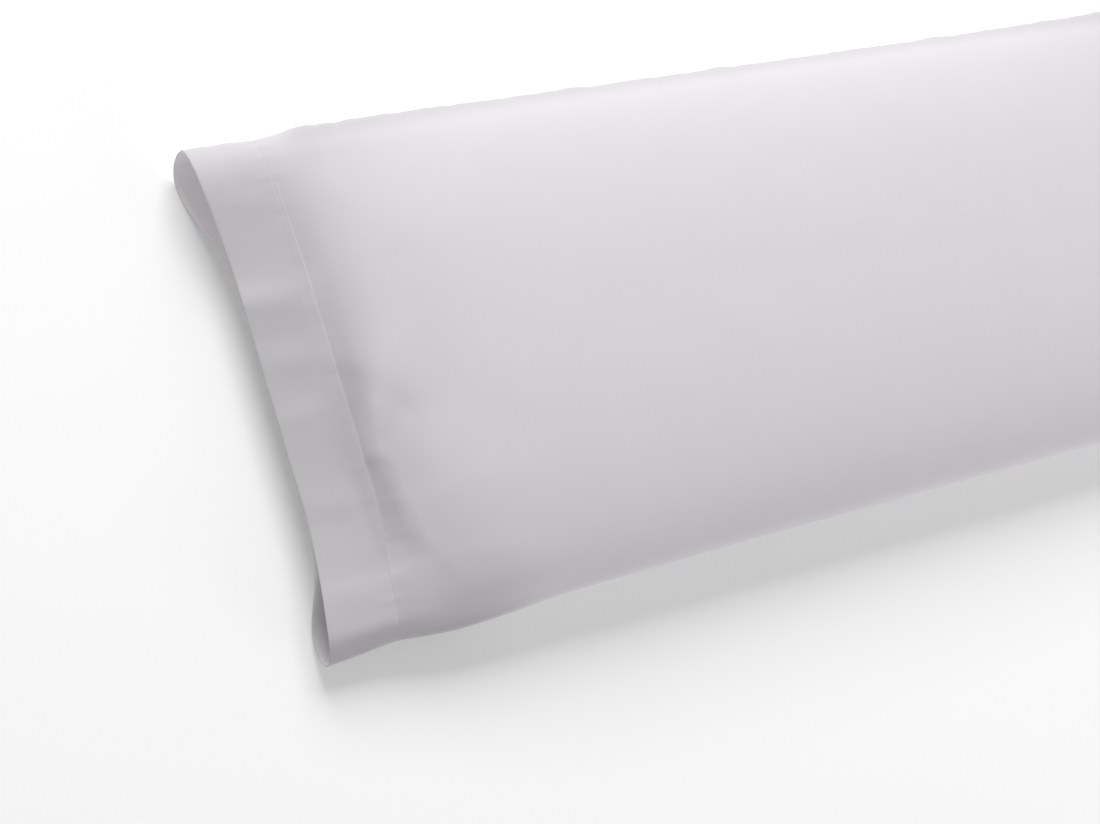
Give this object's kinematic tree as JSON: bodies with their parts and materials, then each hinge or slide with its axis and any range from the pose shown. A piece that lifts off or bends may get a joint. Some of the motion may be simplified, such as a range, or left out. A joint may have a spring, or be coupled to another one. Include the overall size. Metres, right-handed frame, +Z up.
{
  "type": "pillowcase",
  "caption": "Long plain white cotton pillowcase filled by its pillow, crowned, with a deep hem and an open mouth.",
  "frame": {"origin": "middle of the surface that the case lies on, under the centre of its outline", "axes": "+X runs along the case from its open mouth to its closed end, +Y points to the sewn long edge, +Z up"},
  "size_m": [1.092, 0.428, 0.111],
  "materials": {
    "cotton": "smooth plain-weave cotton, matte"
  },
  "bodies": {
    "root": {"pillowcase": "cotton"}
  },
  "joints": []
}
